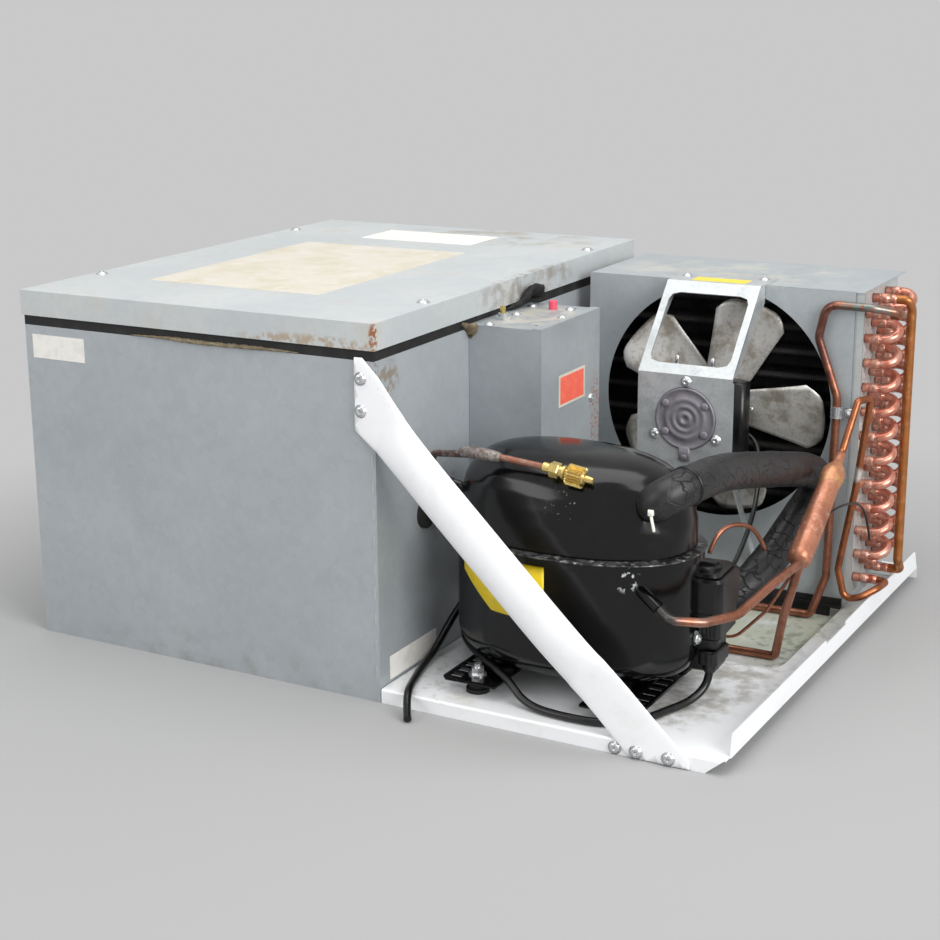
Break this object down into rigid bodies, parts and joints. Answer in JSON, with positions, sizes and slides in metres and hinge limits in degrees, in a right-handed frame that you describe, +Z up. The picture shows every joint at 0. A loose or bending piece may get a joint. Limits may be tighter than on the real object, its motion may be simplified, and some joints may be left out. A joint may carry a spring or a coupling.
{
  "type": "refrigeration condensing unit",
  "caption": "Packaged refrigeration deck: insulated evaporator case with lid beside a pan that carries a hermetic compressor, finned condenser, fan and lines.",
  "frame": {"origin": "bottom centre of the whole deck, without its loose leads", "axes": "+X from the evaporator case towards the condenser coil ends, +Y from the compressor at the front to the rear wall, +Z up"},
  "size_m": [0.7664, 0.6222, 0.3636],
  "materials": {
    "galvanised_steel": "spangled zinc, satin",
    "white_enamel": "gloss white enamel, stained",
    "black_shell": "gloss black paint",
    "copper": "drawn copper, tarnished",
    "aluminium_fin": "dusty thin aluminium",
    "aluminium_blade": "pressed sheet, dusty",
    "black_rubber": "matt",
    "pipe_foam": "closed-cell foam, cracked",
    "insulation_foam": "rigid foam",
    "black_plastic": "moulded",
    "motor_grey": "die-cast, dusty",
    "zinc_screw": "zinc plated",
    "brass": "turned",
    "red_plastic": "moulded",
    "label_yellow": "printed film",
    "nylon_white": "nylon",
    "cable_black": "gloss PVC"
  },
  "bodies": {
    "chassis": {"evaporator_case": "galvanised_steel", "case_insulation": "insulation_foam", "case_lid": "galvanised_steel", "lid_insulation": "insulation_foam", "lid_gasket": "black_rubber", "lid_screws": "zinc_screw", "evaporator_tubes": "copper", "evaporator_fins": "aluminium_fin", "evaporator_fan_wall": "galvanised_steel", "evaporator_fan_motor": "motor_grey", "drip_tray": "black_plastic", "drain_tube": "black_rubber", "wall_grommet": "black_rubber", "base_pan": "white_enamel", "brace_tube": "white_enamel", "brace_screws": "zinc_screw", "compressor_lower_shell": "black_shell", "compressor_upper_shell": "black_shell", "compressor_base": "black_shell", "compressor_grommets": "black_rubber", "compressor_bolts": "zinc_screw", "terminal_cover": "black_plastic", "start_relay": "black_plastic", "cable_clamp": "black_plastic", "ground_screw": "zinc_screw", "condenser_fins": "aluminium_fin", "condenser_tubes": "copper", "condenser_bends": "copper", "condenser_end_plates": "galvanised_steel", "fan_shroud": "galvanised_steel", "shroud_seal": "black_rubber", "motor_bracket": "galvanised_steel", "condenser_fan_motor": "motor_grey", "motor_screws": "zinc_screw", "bracket_screws": "zinc_screw", "condenser_header": "copper", "discharge_tube": "copper", "liquid_tube": "copper", "suction_tube": "copper", "capillary_tube": "copper", "process_tube": "copper", "filter_drier": "copper", "suction_insulation": "pipe_foam", "control_box": "galvanised_steel", "control_box_cover": "galvanised_steel", "control_box_screws": "zinc_screw", "reset_switch": "black_plastic", "thermostat_body": "brass", "compressor_label": "label_yellow", "service_valve": "brass", "tube_clamp": "zinc_screw", "cable_tie": "nylon_white", "supply_lead": "cable_black", "compressor_lead": "cable_black", "evaporator_fan_lead": "cable_black", "condenser_fan_lead": "cable_black"},
    "condenser_fan": {"condenser_fan_blade": "aluminium_blade"},
    "evaporator_fan": {"evaporator_fan_blade": "aluminium_blade"},
    "reset": {"reset_button": "red_plastic"},
    "thermostat": {"thermostat_shaft": "brass"}
  },
  "joints": [
    {"name": "condenser_fan_spin", "type": "hinge", "parent": "chassis", "child": "condenser_fan", "pos_m": [0.19395, 0.128, 0.217], "axis": [0, 1, 0], "continuous": true},
    {"name": "evaporator_fan_spin", "type": "hinge", "parent": "chassis", "child": "evaporator_fan", "pos_m": [-0.17005, -0.006, 0.172], "axis": [1, 0, 0], "continuous": true},
    {"name": "reset_press", "type": "slide", "parent": "chassis", "child": "reset", "axis": [0, 0, -1], "range_m": [0, 0.003], "stiffness_N_per_m": 300, "springref_m": -0.0005},
    {"name": "thermostat_turn", "type": "hinge", "parent": "chassis", "child": "thermostat", "pos_m": [0.04695, -0.075, 0.33], "axis": [0, 0, 1], "range_deg": [-140, 140]}
  ]
}
